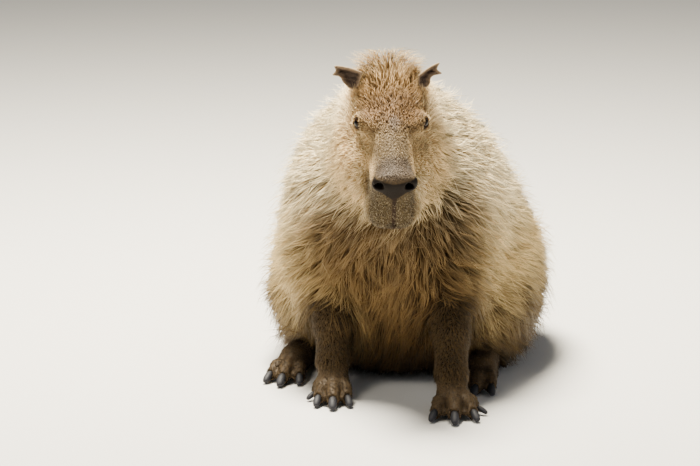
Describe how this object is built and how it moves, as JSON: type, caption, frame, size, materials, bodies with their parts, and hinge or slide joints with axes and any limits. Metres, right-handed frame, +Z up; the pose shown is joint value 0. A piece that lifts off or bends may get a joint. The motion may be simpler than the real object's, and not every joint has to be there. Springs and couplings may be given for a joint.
{
  "type": "capybara",
  "caption": "Still life-size capybara that sits on its haunches with straight forelegs, in a long bristly coat.",
  "frame": {"origin": "on the floor, under the middle of the animal's bounding box", "axes": "+Z up, -Y the way the animal faces, +X to the animal's own left"},
  "size_m": [0.5298, 0.821, 0.5945],
  "materials": {
    "coat": "long straw-coloured bristly hair with dark roots",
    "face": "short orange-brown hair, grey on the bridge of the nose",
    "ear": "thin dark skin, almost bare",
    "leg": "short dark grey-brown hair",
    "eye": "wet dark brown eye",
    "claw": "blunt dark horn with a soft shine"
  },
  "bodies": {
    "root": {"eye_left": "eye", "eye_right": "eye", "head": "face", "ear_left": "ear", "ear_right": "ear", "neck": "coat", "torso": "coat", "thigh_left": "coat", "thigh_right": "coat", "forefoot_left": "leg", "claw_fore_left_1": "claw", "claw_fore_left_2": "claw", "claw_fore_left_3": "claw", "claw_fore_left_4": "claw", "hindfoot_left": "leg", "claw_hind_left_1": "claw", "claw_hind_left_2": "claw", "claw_hind_left_3": "claw", "foreleg_left": "leg", "forefoot_right": "leg", "claw_fore_right_1": "claw", "claw_fore_right_2": "claw", "claw_fore_right_3": "claw", "claw_fore_right_4": "claw", "hindfoot_right": "leg", "claw_hind_right_1": "claw", "claw_hind_right_2": "claw", "claw_hind_right_3": "claw", "foreleg_right": "leg"}
  },
  "joints": []
}
